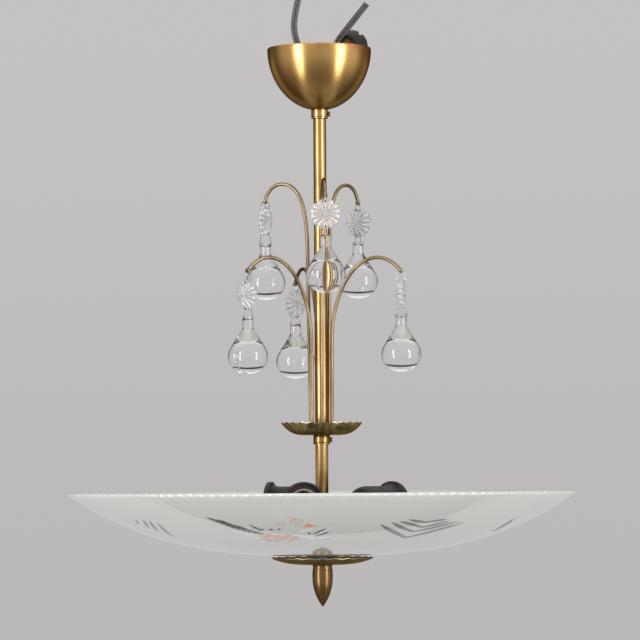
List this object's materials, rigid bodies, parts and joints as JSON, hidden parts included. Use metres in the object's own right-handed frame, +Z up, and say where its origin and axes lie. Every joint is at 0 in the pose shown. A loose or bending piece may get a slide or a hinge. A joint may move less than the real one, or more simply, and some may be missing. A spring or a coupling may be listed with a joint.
{
  "type": "pendant ceiling light",
  "caption": "Brass stem light with a ceiling cup, a spray of bent arms hung with clear glass drops, and a shallow frosted glass dish over hidden lampholders.",
  "frame": {"origin": "the point where a ceiling hook bears on the inside of the hanging loop, on the stem's axis", "axes": "+Z up along the stem, towards the ceiling; +X to the right and +Y away from the viewer in the picture"},
  "size_m": [0.5, 0.5, 0.6277],
  "materials": {
    "aged_brass": "aged, finely brushed",
    "dark_brass": "dark patina, polished",
    "clear_glass": "clear, polished",
    "frosted_glass": "satin etched inside, polished outside, with cut and coloured sprays",
    "bakelite": "dark moulded, lightly worn",
    "porcelain": "beige, unglazed ceramic",
    "steel": "dull",
    "rubber": "grey, matt",
    "grey_cord": "smooth grey sheath"
  },
  "bodies": {
    "stem": {"stem_tube": "aged_brass", "threaded_nipple": "steel", "hanging_loop": "steel", "holder_hub": "aged_brass", "elbow_a": "aged_brass", "elbow_b": "aged_brass", "elbow_c": "aged_brass", "holder_shell_a": "bakelite", "holder_shell_b": "bakelite", "holder_shell_c": "bakelite", "holder_sleeve_a": "porcelain", "holder_sleeve_b": "porcelain", "holder_sleeve_c": "porcelain", "glass_dish": "frosted_glass", "dish_bush": "rubber", "dish_nut": "aged_brass", "lower_saucer": "aged_brass", "terminal_cap": "bakelite", "terminal_block": "porcelain", "terminal_lead": "grey_cord", "lead_left": "grey_cord", "lead_right": "grey_cord"},
    "cup": {"ceiling_cup": "aged_brass", "cup_collar": "aged_brass"},
    "cup_screw": {"cup_screw": "aged_brass"},
    "spray_collar": {"spray_collar": "aged_brass"},
    "spray_screw": {"spray_screw": "aged_brass"},
    "spray": {"spray_saucer": "aged_brass", "spray_hub": "dark_brass", "arm_1": "aged_brass", "arm_2": "aged_brass", "arm_3": "aged_brass", "arm_4": "aged_brass", "arm_5": "aged_brass", "arm_6": "aged_brass"},
    "rosette_1": {"arm_link_1": "steel", "rosette_1": "clear_glass"},
    "drop_1": {"drop_link_1": "steel", "drop_1": "clear_glass"},
    "rosette_2": {"arm_link_2": "steel", "rosette_2": "clear_glass"},
    "drop_2": {"drop_link_2": "steel", "drop_2": "clear_glass"},
    "rosette_3": {"arm_link_3": "steel", "rosette_3": "clear_glass"},
    "drop_3": {"drop_link_3": "steel", "drop_3": "clear_glass"},
    "rosette_4": {"arm_link_4": "steel", "rosette_4": "clear_glass"},
    "drop_4": {"drop_link_4": "steel", "drop_4": "clear_glass"},
    "rosette_5": {"arm_link_5": "steel", "rosette_5": "clear_glass"},
    "drop_5": {"drop_link_5": "steel", "drop_5": "clear_glass"},
    "rosette_6": {"arm_link_6": "steel", "rosette_6": "clear_glass"},
    "drop_6": {"drop_link_6": "steel", "drop_6": "clear_glass"},
    "finial": {"finial": "dark_brass"}
  },
  "joints": [
    {"name": "cup_slide", "type": "slide", "parent": "stem", "child": "cup", "axis": [0, 0, -1], "range_m": [0, 0.05]},
    {"name": "cup_screw_turn", "type": "hinge", "parent": "cup", "child": "cup_screw", "pos_m": [0.00825, 0, -0.0512], "axis": [1, 0, 0], "continuous": true},
    {"name": "spray_slide", "type": "slide", "parent": "stem", "child": "spray_collar", "axis": [0, 0, 1], "range_m": [-0.02, 0.02]},
    {"name": "spray_screw_turn", "type": "hinge", "parent": "spray_collar", "child": "spray_screw", "pos_m": [0.00825, 0, -0.3744], "axis": [1, 0, 0], "continuous": true},
    {"name": "spray_turn", "type": "hinge", "parent": "spray_collar", "child": "spray", "pos_m": [0, 0, -0.3696], "axis": [0, 0, 1], "continuous": true},
    {"name": "finial_turn", "type": "hinge", "parent": "stem", "child": "finial", "pos_m": [0, 0, -0.4978], "axis": [0, 0, 1], "continuous": true},
    {"name": "rosette_1_swing", "type": "hinge", "parent": "spray", "child": "rosette_1", "pos_m": [-0.05478, 0.0178, -0.13705], "axis": [-0.9455, 0.3256, 0], "range_deg": [-12, 12]},
    {"name": "drop_1_swing", "type": "hinge", "parent": "rosette_1", "child": "drop_1", "pos_m": [-0.05478, 0.0178, -0.16905], "axis": [-0.9455, 0.3256, 0], "range_deg": [-15, 15]},
    {"name": "rosette_2_swing", "type": "hinge", "parent": "spray", "child": "rosette_2", "pos_m": [-0.07149, -0.04295, -0.20925], "axis": [-0.788, -0.6157, 0], "range_deg": [-12, 12]},
    {"name": "drop_2_swing", "type": "hinge", "parent": "rosette_2", "child": "drop_2", "pos_m": [-0.07149, -0.04295, -0.24635], "axis": [-0.788, -0.6157, 0], "range_deg": [-15, 15]},
    {"name": "rosette_3_swing", "type": "hinge", "parent": "spray", "child": "rosette_3", "pos_m": [-0.02577, 0.07932, -0.21595], "axis": [-0.809, 0.5878, 0], "range_deg": [-12, 12]},
    {"name": "drop_3_swing", "type": "hinge", "parent": "rosette_3", "child": "drop_3", "pos_m": [-0.02577, 0.07932, -0.24905], "axis": [-0.809, 0.5878, 0], "range_deg": [-15, 15]},
    {"name": "rosette_4_swing", "type": "hinge", "parent": "spray", "child": "rosette_4", "pos_m": [0.00502, -0.05738, -0.13705], "axis": [0, -1, 0], "range_deg": [-12, 12]},
    {"name": "drop_4_swing", "type": "hinge", "parent": "rosette_4", "child": "drop_4", "pos_m": [0.00502, -0.05738, -0.16765], "axis": [0, -1, 0], "range_deg": [-15, 15]},
    {"name": "rosette_5_swing", "type": "hinge", "parent": "spray", "child": "rosette_5", "pos_m": [0.03779, 0.04347, -0.13705], "axis": [0.5299, 0.848, 0], "range_deg": [-12, 12]},
    {"name": "drop_5_swing", "type": "hinge", "parent": "rosette_5", "child": "drop_5", "pos_m": [0.03779, 0.04347, -0.16965], "axis": [0.5299, 0.848, 0], "range_deg": [-15, 15]},
    {"name": "rosette_6_swing", "type": "hinge", "parent": "spray", "child": "rosette_6", "pos_m": [0.07886, -0.02715, -0.20925], "axis": [0.9976, -0.0698, 0], "range_deg": [-12, 12]},
    {"name": "drop_6_swing", "type": "hinge", "parent": "rosette_6", "child": "drop_6", "pos_m": [0.07886, -0.02715, -0.24585], "axis": [0.9976, -0.0698, 0], "range_deg": [-15, 15]}
  ]
}
